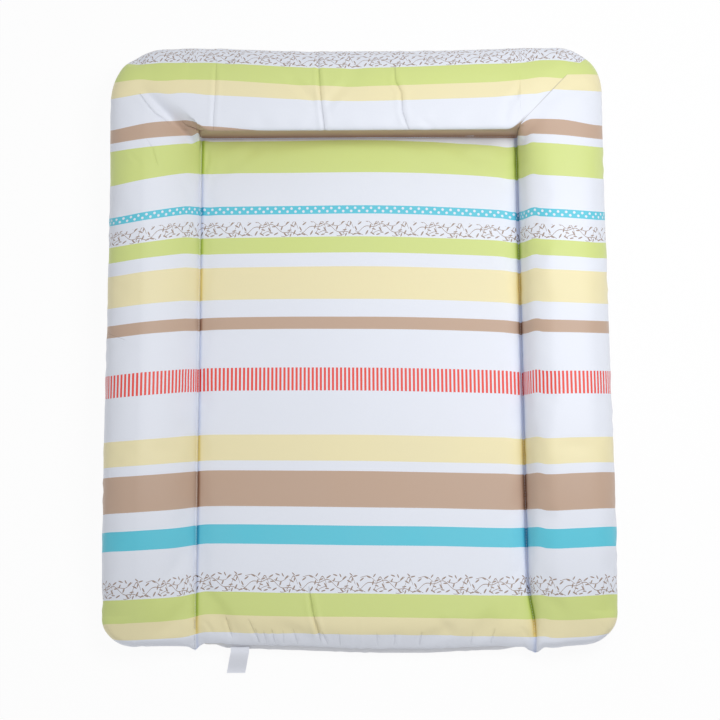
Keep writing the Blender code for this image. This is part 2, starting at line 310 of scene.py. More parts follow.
def topPoint(xs, ys):
    z, leanAcross, leanAlong = roundedForm(xs, ys)
    x, y = settle(*roundCorners(xs, ys))
    return np.stack([x - np.sign(xs) * leanAcross, y - leanAlong, z], axis=-1)


def backPoint(xs, ys):
    run = ys + mat["halfLength"]
    sideRim = (np.abs(xs) - mat["halfWidth"]) / mat["sideRound"] + 1
    headRim = (ys - mat["halfLength"]) / mat["sideRound"] + 1
    footRim = 1 - run / mat["footRound"]
    rim = np.clip(np.maximum(np.maximum(sideRim, headRim), footRim), 0, 1)
    share = 1 - arc(1 - rim)
    sideOut, headOut = outOver(xs, ys)
    out = np.clip(np.maximum(sideOut, headOut), 0, None)
    inwards = np.clip(np.minimum(side - gap - np.abs(xs), head - gap - ys), 0, None)
    near = np.clip(1 - (out + inwards) / mat["liftReach"], 0, 1)
    x, y = settle(*roundCorners(xs, ys))
    # between the channels the back sheet rolls out past the foot seam
    within = ease((mat["bulgeWithin"] - np.abs(xs)) / mat["bulgeRun"])
    y = y - mat["footBulge"] * np.sin(np.pi * share) * (footRim > 0) * within
    corner, _, turned, radius = footTurn(xs, ys)
    seam = seamAt(np.where(corner, turned * radius - mat["halfLength"], ys))
    return np.stack([x, y, seam * share + mat["channelLift"] * near ** 2 * (1 - share)], axis=-1)


def inwardsFrom(xs, ys):
    # the way in from the rim, level, square to the outline
    radius = np.where(ys > 0, *cornerRadii(xs))
    x, y = roundCorners(xs, ys)
    nearX = np.clip(x, radius - mat["halfWidth"], mat["halfWidth"] - radius)
    nearY = np.clip(y, radius - mat["halfLength"], mat["halfLength"] - radius)
    way = np.stack([nearX - x, nearY - y, 0 * x], axis=-1)
    return way / np.maximum(np.linalg.norm(way, axis=-1, keepdims=True), 1e-9)


def spreadAlong(places, line, crowding, count):
    # count steps along a line, closer together where crowding is higher
    step = np.linalg.norm(np.diff(line, axis=0), axis=1) * (crowding[1:] + crowding[:-1]) / 2
    gone = np.concatenate([[0], np.cumsum(step)])
    return np.interp(np.linspace(0, gone[-1], count + 1), gone, places)


def lengthAlong(line):
    return np.concatenate([[0], np.cumsum(np.linalg.norm(np.diff(line, axis=0), axis=1))])


# the printed top cover

topCover = {"padColumns": 100, "bolsterColumns": 72, "padRows": 160, "headRows": 84,
    "tuck": .007, "seamPinch": .0022, "footPinch": .0030, "pinchWidth": .0035,
    "edgeRipple": .0010, "footRipple": .0008, "rippleReach": .016,
    "channelRipple": .0004, "channelReach": .012, "smoothCorner": .012,
    "footPitch": .021, "sidePitch": .034, "headPitch": .030, "channelPitch": .019,
    "nubReach": .0085, "nubWidth": .0088, "nubHeight": .012, "nubTurn": .004, "nubRise": .3,
    "mitreEnd": .296,
    # reach of the painted channel shade, a deeper ink colour, on the left pad, left bolster, right side and
    # head, and how far out from the left and right channel it lies
    "channelShadeReach": (.004, .003, .011, .004), "channelShadeAt": (.005, .0035), "headChannelShade": .6}

# the cloth test that swells the cover between its seams
swelling = {"pitch": .0055, "frames": 14, "pressure": 2.4, "spare": .012, "most": .0035,
    "seamHold": .007, "channelHold": .008, "leastHeld": .02, "holdGain": 1.15,
    "bridge": .011, "bridgeFrom": .002, "bridgeRun": .008}

# creases in the cover as (depth, width, points along it), in mm from the middle of the mat. One
# that is narrower than crispBelow has a crisp bottom.
crispBelow = 4
creases = (
    # the left head corner, where one length of cloth turns
    (2.0, 3.0, (-306, 347), (-296, 333), (-285, 320), (-267, 308)),
    (2.6, 3.4, (-252, 312), (-234, 303), (-216, 303)),
    (1.4, 2.6, (-235, 323), (-226, 306)),
    (1.2, 2.6, (-297, 280), (-288, 268), (-281, 243)),
    (.9, 2.6, (-321, 262), (-305, 244)),
    # over the head bolster, left to right
    (1.3, 2.8, (-200, 398), (-201, 353), (-205, 304)),
    (2.0, 3.0, (-54, 418), (-54, 385), (-50, 340), (-44, 303)),
    (1.6, 7.0, (-106, 376), (-81, 357), (-52, 336)),
    (1.1, 6.0, (-6, 366), (-27, 351), (-46, 332)),
    (2.0, 3.2, (54, 388), (55, 364), (63, 350), (64, 332), (73, 307)),
    (1.0, 5.0, (86, 326), (112, 306)),
    (1.0, 6.0, (228, 368), (212, 341), (202, 312)),
    # gathers along the foot edge
    (1.6, 2.6, (-183, -386), (-174, -415)),
    (1.4, 2.6, (-150, -388), (-139, -415)),
    (2.4, 3.2, (-69, -340), (-63, -378), (-53, -417)),
    (1.5, 2.6, (-60, -386), (-53, -413)),
    (1.2, 2.6, (-51, -404), (-44, -421)),
    (1.0, 2.8, (-5, -378), (-5, -421)),
    (1.0, 2.6, (122, -402), (122, -423)),
    (1.0, 6.0, (102, -380), (118, -399), (130, -412)),
    (.9, 3.0, (-214, -392), (-200, -412)),
    (1.4, 2.4, (-141, -403), (-137, -421)),
    (1.2, 2.4, (-130, -405), (-127, -421)),
    (1.4, 2.4, (-119, -402), (-115, -421)),
    (1.2, 2.4, (-104, -404), (-103, -421)),
    (1.3, 2.4, (-90, -403), (-85, -421)),
    (1.2, 2.4, (-28, -405), (-27, -421)),
    (1.3, 2.4, (22, -403), (24, -421)),
    (1.2, 2.4, (47, -405), (46, -421)),
    (1.4, 2.4, (83, -402), (80, -421)),
    (1.2, 2.4, (151, -404), (149, -421)),
    (1.4, 2.4, (178, -401), (173, -421)),
    (.8, 3.0, (208, -396), (219, -414)),
    # beside the left channel, and the left edge
    (1.0, 3.0, (-216, 292), (-217, 263), (-223, 228)),
    (1.2, 3.2, (-349, 9), (-322, -7)))


def coverStations():
    cover = topCover
    # across, from the middle outwards: closer at the head's creases and beside the channels
    places = np.linspace(0, side - gap, 1500)
    crowding = 1 + .8 * ease((places - .13) / .07) + 1.4 * hill(places - .057, .016)
    pad = spreadAlong(places, topPoint(places, 0 * places + sectionAt), crowding, cover["padColumns"])
    places = np.linspace(side + gap, mat["halfWidth"], 4000)
    bolster = spreadAlong(places, topPoint(places, 0 * places + sectionAt), 0 * places + 1,
        cover["bolsterColumns"])
    half = np.concatenate([pad, [side], bolster])
    across = np.concatenate([-half[:0:-1], half])
    # along, from the foot edge to the head: closer at the foot's puckers and the head channel
    places = np.linspace(-mat["halfLength"], head - gap, 3000)
    crowding = 1 + 2.6 * ease((-.33 - places) / .05) + 1.2 * ease((places - .20) / .06)
    pad = spreadAlong(places, topPoint(0 * places, places), crowding, cover["padRows"])
    places = np.linspace(head + gap, mat["halfLength"], 4000)
    bolster = spreadAlong(places, topPoint(0 * places, places), 0 * places + 1, cover["headRows"])
    return across, np.concatenate([pad, [head], bolster])


across, along = coverStations()
gridX, gridY = np.meshgrid(across, along)          # rows run from the foot to the head
acrossLength = lengthAlong(topPoint(across, 0 * across + sectionAt))
acrossLength -= acrossLength[-1] / 2
alongLength = lengthAlong(topPoint(0 * along, along)) + float(footLift(0, -mat["halfLength"]))
headChannel = float(np.interp(head, along, alongLength))
print("cover grid", gridX.shape, "cut", round(2 * acrossLength[-1], 3), round(alongLength[-1], 3))


def normalsOf(points):
    normal = np.cross(np.gradient(points, axis=1), np.gradient(points, axis=0))
    return normal / np.maximum(np.linalg.norm(normal, axis=-1, keepdims=True), 1e-12)


def gridFaces(rows, columns):
    at = np.arange(rows * columns).reshape(rows, columns)
    return np.stack([at[:-1, :-1], at[:-1, 1:], at[1:, 1:], at[1:, :-1]], axis=-1).reshape(-1, 4)


def meshFrom(name, points, faces):
    mesh = bpy.data.meshes.new(name)
    mesh.from_pydata(points.reshape(-1, 3).tolist(), [], faces.tolist())
    made = bpy.data.objects.new(name, mesh)
    bpy.context.scene.collection.objects.link(made)
    return made


def choose(made):
    bpy.ops.object.select_all(action="DESELECT")
    made.select_set(True)
    bpy.context.view_layer.objects.active = made


def rimDistance(u, v):
    # lengths of cloth to the foot seam, and to the nearest of the side and head seams
    other = np.minimum((acrossLength[-1] - np.abs(u))[None, :], (alongLength[-1] - v)[:, None])
    return v[:, None] + 0 * u[None, :], other


def swell():
    # inflates the cover between its seams on an even grid, and gives how far each point moves
    steps = [round(float(line[-1] - line[0]) / swelling["pitch"]) for line in (acrossLength, alongLength)]
    u = np.linspace(acrossLength[0], acrossLength[-1], steps[0] + 1)
    v = np.linspace(0, alongLength[-1], steps[1] + 1)
    xs, ys = np.meshgrid(np.interp(u, acrossLength, across), np.interp(v, alongLength, along))
    points = topPoint(xs, ys)
    rows, columns = points.shape[:2]
    made = meshFrom("coverSwell", points, gridFaces(rows, columns))
    foot, other = rimDistance(u, v)
    sideOut, headOut = outOver(xs, ys)
    channel = np.minimum(np.abs(np.maximum(sideOut, headOut) + gap), 1)
    atSeam = swelling["seamHold"]
    held = np.maximum.reduce([hill(foot, atSeam), hill(other, atSeam),
        hill(channel, swelling["channelHold"])])
    mitre = (sideOut > 0) & (headOut > 0) & (xs > 0)
    held = np.maximum(held, np.where(mitre, hill(sideOut - headOut, atSeam), 0))
    group = made.vertex_groups.new(name="seams")
    for at, weight in enumerate(held.reshape(-1)):
        if weight > swelling["leastHeld"]:
            group.add([at], min(1, float(weight) * swelling["holdGain"]), "REPLACE")
    choose(made)
    cloth = made.modifiers.new("swell", "CLOTH")
    settings = cloth.settings
    settings.quality, settings.mass = 5, .15
    settings.tension_stiffness = settings.compression_stiffness = 12
    settings.shear_stiffness, settings.bending_stiffness = 6, .6
    settings.tension_damping = settings.compression_damping = 10
    settings.air_damping = 4
    settings.vertex_group_mass = "seams"
    settings.pin_stiffness = 6
    settings.shrink_min = -swelling["spare"]
    settings.use_pressure = True
    settings.uniform_pressure_force = swelling["pressure"]
    settings.effector_weights.gravity = 0
    cloth.collision_settings.use_collision = False
    cloth.point_cache.frame_start, cloth.point_cache.frame_end = 1, swelling["frames"] + 1
    for at in range(1, swelling["frames"] + 1):
        bpy.context.scene.frame_set(at)
    shown = made.evaluated_get(bpy.context.evaluated_depsgraph_get())
    found = np.empty(rows * columns * 3, np.float32)
    shown.data.vertices.foreach_get("co", found)
    moved = found.reshape(rows, columns, 3).astype(float) - points
    bpy.data.objects.remove(made)
    bpy.context.scene.frame_set(1)
    for axis in (0, 1, 0, 1):
        moved = (np.roll(moved, 1, axis) + 2 * moved + np.roll(moved, -1, axis)) / 4
    size = np.linalg.norm(moved, axis=-1, keepdims=True)
    most = swelling["most"]
    moved *= most * np.tanh(size / most) / np.maximum(size, 1e-9)
    mean, top = (round(float(value) * 1000, 2) for value in (size.mean(), size.max()))
    print("swell: mean", mean, "mm, most", top)
    for axis in (0, 1, 0, 1):
        moved = finer(moved, axis)
    # back onto the cover's own points
    a = (acrossLength - u[0]) / (u[-1] - u[0]) * (moved.shape[1] - 1)
    b = alongLength / v[-1] * (moved.shape[0] - 1)
    column = np.clip(a.astype(int), 0, moved.shape[1] - 2)
    row = np.clip(b.astype(int), 0, moved.shape[0] - 2)
    a, b = (a - column)[None, :, None], (b - row)[:, None, None]
    beside = moved[:, column] * (1 - a) + moved[:, column + 1] * a
    moved = beside[row] * (1 - b) + beside[row + 1] * b
    pastSide, pastHead = (ease((out - swelling["bridgeFrom"]) / swelling["bridgeRun"])
        for out in outOver(gridX, gridY))
    for way in (-1, 1):
        moved = bridged(moved, way * across, side, pastHead)
    return np.swapaxes(bridged(np.swapaxes(moved, 0, 1), along, head, pastSide.T), 0, 1)


def bridged(field, places, line, share):
    # past the end of a channel the cover runs straight across that channel's line
    inside = np.flatnonzero(np.abs(places - line) < swelling["bridge"])
    first, last = inside[0] - 1, inside[-1] + 1
    t = ((places[inside] - places[first]) / (places[last] - places[first]))[None, :, None]
    straight = field[:, [first]] * (1 - t) + field[:, [last]] * t
    made = field.copy()
    made[:, inside] += (straight - made[:, inside]) * share[:, inside, None]
    return made


def finer(field, axis):
    # puts a point halfway between each two, on a smooth curve through them
    field = np.moveaxis(field, axis, 0)
    wide = np.concatenate([2 * field[:1] - field[1:2], field, 2 * field[-1:] - field[-2:-1]])
    middle = (9 * (wide[1:-2] + wide[2:-1]) - wide[:-3] - wide[3:]) / 16
    made = np.empty((2 * len(field) - 1, *field.shape[1:]))
    made[::2], made[1::2] = field, middle
    return np.moveaxis(made, 0, axis)


def ripple(place, pitch, seed):
    # uneven gathers, as hand-fed cloth makes along a seam
    swing = np.sin(2 * np.pi * place / pitch + 1.7 * np.sin(2 * np.pi * place / (2.7 * pitch) + seed))
    return swing * (.45 + .55 * np.sin(2 * np.pi * place / (5.3 * pitch) + 2.1 * seed))


def creaseLift():
    # each crease is a groove between soft banks that runs out at both ends
    u, v = np.meshgrid(acrossLength, alongLength)
    lift = 0 * u
    for depth, width, *line in creases:
        line = np.array(line) / 1000
        line = np.stack([np.interp(line[:, 0], across, acrossLength),
            np.interp(line[:, 1], along, alongLength)], axis=1)
        gone = lengthAlong(line)
        best, place = np.full(u.shape, 9.0), 0 * u
        for start, end, before, after in zip(line, line[1:], gone, gone[1:]):
            way = end - start
            t = np.clip(((u - start[0]) * way[0] + (v - start[1]) * way[1]) / (way @ way), 0, 1)
            distance = np.hypot(u - start[0] - t * way[0], v - start[1] - t * way[1])
            place = np.where(distance < best, before + t * (after - before), place)
            best = np.minimum(best, distance)
        share, width = place / gone[-1], width / 1000
        fade = ease(share / .3) * ease((1 - share) / .2)
        groove = np.exp(-best / (.55 * width)) if width < crispBelow / 1000 else hill(best, width)
        lift -= depth / 1000 * fade * (groove - .35 * hill(best - 2 * width, width))
    return lift


def shapeCover():
    cover = topCover
    points = topPoint(gridX, gridY)
    points = points + swell()
    normal = normalsOf(points)
    foot, other = rimDistance(acrossLength, alongLength)
    reach = cover["rippleReach"]
    lift = cover["footRipple"] * hill(foot, reach) * ripple(gridX, cover["footPitch"], .4)
    atSide = acrossLength[-1] - np.abs(acrossLength)[None, :] + 0 * gridX
    atHead = (alongLength[-1] - alongLength)[:, None] + 0 * gridX
    lift += cover["edgeRipple"] * hill(atSide, reach) * ripple(gridY, cover["sidePitch"], 1.3 + (gridX > 0))
    lift += cover["edgeRipple"] * hill(atHead, reach) * ripple(gridX, cover["headPitch"], 2.2)
    nearSide = np.abs(np.abs(gridX) - side)
    lift += cover["channelRipple"] * hill(nearSide, cover["channelReach"]) * \
        (gridY < head) * ripple(gridY, cover["channelPitch"], .8 + (gridX > 0))
    # the cloth lies smooth round the corners
    radius = np.where(gridY > 0, *cornerRadii(gridX))
    into = np.minimum(np.abs(gridX) - mat["halfWidth"] + radius, np.abs(gridY) - mat["halfLength"] + radius)
    lift *= 1 - ease(into / cover["smoothCorner"])
    points = points + normal * (lift + creaseLift())[..., None]
    # the seam is drawn in where the cover turns under, and the channel ends bunch out at the foot
    pinch = np.maximum(cover["footPinch"] * hill(foot, cover["pinchWidth"]),
        cover["seamPinch"] * hill(other, cover["pinchWidth"]))
    points += inwardsFrom(gridX, gridY) * pinch[..., None]
    aside = np.clip(1 - np.abs(np.abs(gridX) - side) / (1.5 * cover["nubWidth"]), 0, 1)
    bunch = cover["nubReach"] * aside * hill(foot, cover["nubHeight"])
    points[..., 1] -= bunch
    points[..., 2] += cover["nubRise"] * bunch * np.sign(cover["nubTurn"] - foot)
    return points


coverPoints = shapeCover()
print("cover shaped")


# where the print lies on the cover, in metres of cloth from the foot seam
printLay = {"uvStart": (.46, .02), "padCloth": (0, .681),
    "headCloth": (-.0015, 0, .0151, .0500, .0955, .4625),
    "print": (0, .681, .7265, .7385, .743, .763, .808, 1.175),
    "takeUp": .424, "takeUpFrom": -.511, "droop": (.10, .02), "headDroop": .03, "padBow": (.002, .008),
    "faceBow": (.016, .008), "crownBow": (.007, .003), "cornerEase": .05}

# how far the print lies off true, in mm: places along the cloth, then a row for each place across
laidOff = {"sides": ((.040, .160, .285, .460, .575, .681, .726, .763, .820), (
        (-.345, -4, -3, -3.5, -.5, 3.5, 7, 1, 6, 3),
        (-.29, -2, -1, -2, -1.5, .5, 2, 0, 1, 2),
        (-.24, .5, 0, -1.5, -1, -1, -1.5, -.5, 2, 0),
        (-.21, -5, -2.5, -2, -1, 1.5, .5, 3.5, 0, 0),
        (-.10, -2, -1, -1, -.5, 2, 2, 4.5, 0, 0),
        (0, -1, 1, 0, .5, 2, 2, 4.5, 0, 0),
        (.10, 1.5, 2.5, 2, 1, 3, 2.5, 5.5, 0, 0),
        (.20, 3.5, 5, 3, 1, 3, 4, 7, 0, 0),
        (.217, 4.5, 4.5, 4, 1.5, 3.8, 5, 7, 1, 0),
        (.238, 3.5, 4, 2.5, 1.5, 3, 2, 1, 2, 0),
        (.25, 5, 6.5, 5.5, 5, 6, 5, 2, 3, 1),
        (.29, 3, 4.5, 3.5, 5.5, 7.5, 6, 3, 3, 3),
        (.335, .5, 2, 2, 6, 9.5, 7.5, 5, 9, 1))),
    "head": ((.737, .763, .808, .831, .862), (
        (-.29, 0, 1, 1, 1, 1.5),
        (-.25, 1, 3, -5, -2.5, 2.5),
        (-.21, 3, 3, -1.5, -2, 3),
        (-.10, 3, 5, -1, -.5, 3.5),
        (0, 3, 6, -1.5, -.5, 1.5),
        (.10, 3, 6, -1, -1, 1.5),
        (.19, -2, 4, -1.5, -2, 0),
        (.234, -4, 1, -5, -6, -2.5),
        (.26, 0, 0, -5.5, -9, -6),
        (.30, 0, 0, -7, -8, -4.5)))}


def shares(places, at):
    # the share that each place has in a smooth curve through them all
    step = np.interp(at, places, np.arange(len(places)))
    first = np.clip(step.astype(int), 0, len(places) - 2)
    t = step - first
    parts = ((-t + 2 * t ** 2 - t ** 3) / 2, (2 - 5 * t ** 2 + 3 * t ** 3) / 2,
        (t + 4 * t ** 2 - 3 * t ** 3) / 2, (t ** 3 - t ** 2) / 2)
    return np.stack([sum(part * (np.clip(first + back, 0, len(places) - 1) == k)
        for back, part in zip((-1, 0, 1, 2), parts)) for k in range(len(places))], axis=-1)


def offTrue(part, xs, v):
    places, rows = laidOff[part]
    table = np.array(rows)
    return np.einsum("...i,ij,...j", shares(table[:, 0], xs), table[:, 1:] / 1000, shares(places, v))


def printAlong(points, xs, ys, length):
    # the print's place on the side bolsters and pad, and on the head bolster
    lay = printLay
    sideOut, headOut = outOver(xs, ys)
    out = np.clip(sideOut, 0, None)
    cloth = [*lay["padCloth"], *(headChannel + place for place in lay["headCloth"])]
    flat = np.interp(length, cloth, lay["print"])
    swing = ease(np.abs(xs) / .25)
    face, crown = np.where(xs < 0, *lay["faceBow"]), np.where(xs < 0, *lay["crownBow"])
    onHead = flat - (face + (crown - face) * ease((headOut - .02) / .035)) * swing * ease(headOut / .001)
    # over a side bolster the cloth runs straight on past the head channel
    level = float(np.interp(.15, along, alongLength)) - .15
    straight = np.where(ys > .15, ys + level, flat)
    joined = flat * (ys < head) + straight * (ys >= head)
    joined = joined + (straight - joined) * ease(out / .012)
    # cloth is taken up towards the head as it rises over a bolster, and droops to the outside
    risen = np.clip(points[..., 2] - mat["pad"], 0, None) * (out > 0)
    droop = np.where(xs < 0, *lay["droop"]) + (xs > 0) * lay["headDroop"] * ease((ys - .1) / .2)
    onSide = joined + risen * lay["takeUp"] * (ys - lay["takeUpFrom"]) + droop * out
    shift = roundCorners(xs, ys)[1] - ys + footLift(xs, ys) - footLift(0 * xs, ys)
    onSide, onHead = onSide + shift, onHead + shift
    bow = np.where(xs < 0, *lay["padBow"]) * (np.clip(np.abs(xs), 0, side) / side) ** 2
    onSide = onSide + bow * (1 - ease(out / .02)) * ease((ys + .35) / .5)
    return onSide + offTrue("sides", xs, onSide), onHead + offTrue("head", xs, onHead)


def buildTopCover():
    cover = topCover
    way = inwardsFrom(gridX, gridY)
    points = np.pad(coverPoints, ((1, 1), (1, 1), (0, 0)), mode="edge")
    tuck = np.pad(way, ((1, 1), (1, 1), (0, 0)), mode="edge") * cover["tuck"]
    rim = np.ones(points.shape[:2], bool)
    rim[1:-1, 1:-1] = False
    points = points + tuck * rim[..., None]
    points[..., 2] += sheetGap
    rows, columns = points.shape[:2]
    faces = gridFaces(rows, columns)
    made = meshFrom("topCover", points, faces)
    # the print's coordinates, taken up panel by panel so that it steps at the mitres
    def padded(line):
        step = cover["tuck"]
        return np.concatenate([[line[0] - step], line, [line[-1] + step]])
    u = padded(acrossLength)[None, :] + np.zeros((rows, 1))
    length = padded(alongLength)[:, None] + np.zeros((1, columns))
    xs, ys = np.pad(gridX, 1, mode="edge"), np.pad(gridY, 1, mode="edge")
    sideOut, headOut = outOver(xs, ys)
    onSides, onHead = printAlong(points, xs, ys, length)
    startU, startV = printLay["uvStart"]
    for name, v in (("onSides", onSides), ("onHead", onHead), ("cloth", length + 0 * u)):
        uv = np.stack([u + startU + 0 * v, v + startV], axis=-1).reshape(-1, 2)[faces.reshape(-1)]
        made.data.uv_layers.new(name=name).data.foreach_set("uv", uv.reshape(-1).astype(np.float32))
    # one length of cloth turns the left corner, and the right one is seamed
    turned = ease((headOut - sideOut) / printLay["cornerEase"] + .5) * (headOut > 0) * \
        ease(headOut / .002 + ease(-sideOut / .004)) - .5
    seamed = np.minimum(headOut - sideOut, headOut) * 1500
    panel = np.where(xs < 0, turned, np.where(sideOut > -.06, seamed, np.sign(headOut)))
    # how near each point is to the foot of a channel, for the painted channel shade, and how far from the
    # seam of the right corner
    lengthOut = np.abs(u) - np.interp(side, across, acrossLength) + 0 * length
    headGone = length - np.interp(head, along, alongLength)
    atPad, atLeft, atRight, atHead = cover["channelShadeReach"]
    reach = np.where(xs < 0, np.where(lengthOut < 0, atPad, atLeft), atRight)
    lengthOut = lengthOut - np.where(xs < 0, *cover["channelShadeAt"])
    # painted shade: near the channels and along the head channel the ink colour is deepened
    near = np.maximum(hill(lengthOut, reach) * (ys < head),
        cover["headChannelShade"] * hill(headGone, atHead) * (np.abs(xs) < side))
    seam = (sideOut - headOut) / math.sqrt(2)
    seam = seam + np.where((sideOut < 0) & (headOut < 0), np.sign(seam), 0)
    for name, values in (("panel", panel), ("paintedChannelShade", near), ("mitre", seam)):
        made.data.attributes.new(name, "FLOAT", "POINT").data.foreach_set("value",
            values.reshape(-1).astype(np.float32))
    choose(made)
    bpy.ops.object.shade_smooth()
    return made


printed = buildTopCover()
print("top cover", len(printed.data.polygons), "faces")


# the print: bands across the cloth, in millimetres from the foot seam
printBands = {
    "white": tone(237, 241, 251),
    "yellow": (tone(245, 234, 186), ((28.2, 52.4), (265.1, 301.3), (494.7, 542.6), (808, 831))),
    "green": (tone(215, 228, 137), ((52.4, 84), (563.0, 586.5), (681, 726), (831, 862))),
    "brown": (tone(199, 169, 146), ((201.9, 251.2), (451, 468.7), (739, 763))),
    "cyan": (tone(90, 206, 228), ((150.2, 176.8), (620, 632))),
    "red": (tone(242, 72, 54), ((363.2, 395.8),)),
    "vine": (tone(150, 120, 97), ((84, 112), (586.5, 609.0), (862, 889), (889, 916))),
    "dotPitch": 11.25, "dotRadius": 1.85, "dotRows": (623.7, 628.3), "hatchPitch": 5.6, "hatchShare": .55}

# one length of the vine, in mm: stems as (height, swings, width, gaps), where a swing is (reach, turns,
# start) and gaps are (turns, start, least) or none, and leaves as (along, up, degrees, length, width)
vine = {"repeat": 78,
    "stems": ((11, ((6.5, 1, 0), (2.4, 3, 1.1)), .5, None),
        (20, ((4.5, 1, 2.4), (2.2, 3, .5)), .4, (2, 1, -.1)),
        (5, ((4, 2, 4.0),), .4, (3, 3, .2)),
        (14, ((9, 4, 1.5),), .8, (2, 5, .35))),
    "leaves": ((5, 6, 60, 7.5, 2.8), (13, 4.5, -35, 7, 2.6), (10, 15, 75, 7, 2.5), (18, 19, 20, 6.5, 2.5),
        (24, 11, -60, 7.5, 2.7), (28, 22.5, 35, 7.5, 2.6), (33, 5, 30, 7, 2.6), (37, 25, -20, 6.5, 2.4),
        (41, 13, 70, 7, 2.6), (46, 4, -50, 7, 2.8), (49, 21, 50, 7.5, 2.6), (56, 16.5, -30, 7, 2.5),
        (59, 7, 65, 7.5, 2.7), (64, 24, 15, 6.5, 2.5), (67.5, 12, -65, 7, 2.6), (73, 19.5, 40, 7, 2.6),
        (4, 23, -30, 6.5, 2.5), (52, 10, 10, 6, 2.4), (71.5, 4, -20, 6.5, 2.5), (21, 3.5, 15, 6, 2.4),
        (15, 11, -20, 5.5, 2.3), (30, 15.5, 5, 6, 2.4), (35.5, 18.5, 65, 6, 2.3), (44, 24.5, -65, 5.5, 2.2),
        (53.5, 3, 70, 5.5, 2.3), (60, 19, 75, 6, 2.3), (65, 3.5, 30, 5.5, 2.2), (12, 25, 55, 5.5, 2.2),
        (58.5, 26, -45, 5.5, 2.2), (26, 6.5, -5, 5.5, 2.2))}


def vineMask(u, up):
    # a wandering stem, three more across it that come and go, and leaves on both sides
    place = (u / vine["repeat"]).part() * vine["repeat"]
    turn = 2 * math.pi / vine["repeat"]
    mask = None
    for height, swings, width, gaps in vine["stems"]:
        for reach, turns, start in swings:
            height = height + reach * (place * (turns * turn) + start).sin()
        stem = abs(up - height) < width
        if gaps:
            turns, start, least = gaps
            stem = stem * ((place * (turns * turn) + start).sin() > least)
        mask = stem if mask is None else mask.highest(stem)
    for middle, height, angle, length, width in vine["leaves"]:
        c, s = math.cos(math.radians(angle)), math.sin(math.radians(angle))
        x, y = place - middle, up - height
        reach = ((x * c + y * s) / (length / 2)) ** 2 + ((y * c - x * s) / (width * .37)) ** 2
        mask = mask.highest(reach < 1)
    return mask


# the bottom of a crease as a share of its width and depth, and which creases have one, in mm
crisp = {"widest": 3.5, "shallowest": 1.2, "wide": .45, "deep": .42}


def sharpCreases(look):
    # the crisp bottom of each narrow crease, in millimetres of height
    cloth = look.node("ShaderNodeUVMap", {"uv_map": "cloth"})[0]
    u, v, _ = look.node("ShaderNodeSeparateXYZ", {}, {0: cloth})
    startU, startV = printLay["uvStart"]
    u, v = (u - startU) * 1000, (v - startV) * 1000
    height = None
    for depth, width, *line in creases:
        if width > crisp["widest"] or depth < crisp["shallowest"]:
            continue
        places = [(float(np.interp(x / 1000, across, acrossLength)) * 1000,
            float(np.interp(y / 1000, along, alongLength)) * 1000) for x, y in line]
        for (a, b), (c, d) in zip(places, places[1:]):
            long = math.hypot(c - a, d - b)
            way = ((c - a) / long, (d - b) / long)
            gone = (u - a) * way[0] + (v - b) * way[1]
            aside = abs((v - b) * way[0] - (u - a) * way[1])
            within = ((gone + 1.5) / 3).held() * ((long + 1.5 - gone) / 3).held()
            one = (1 - aside / (width * crisp["wide"])).highest(0) * within * (depth * crisp["deep"])
            height = one if height is None else height.highest(one)
    return -height


def weaveHeight(u, v, pitch):
    # plain weave: warp and weft take turns on top
    return u.wave(pitch) * v.wave(pitch)


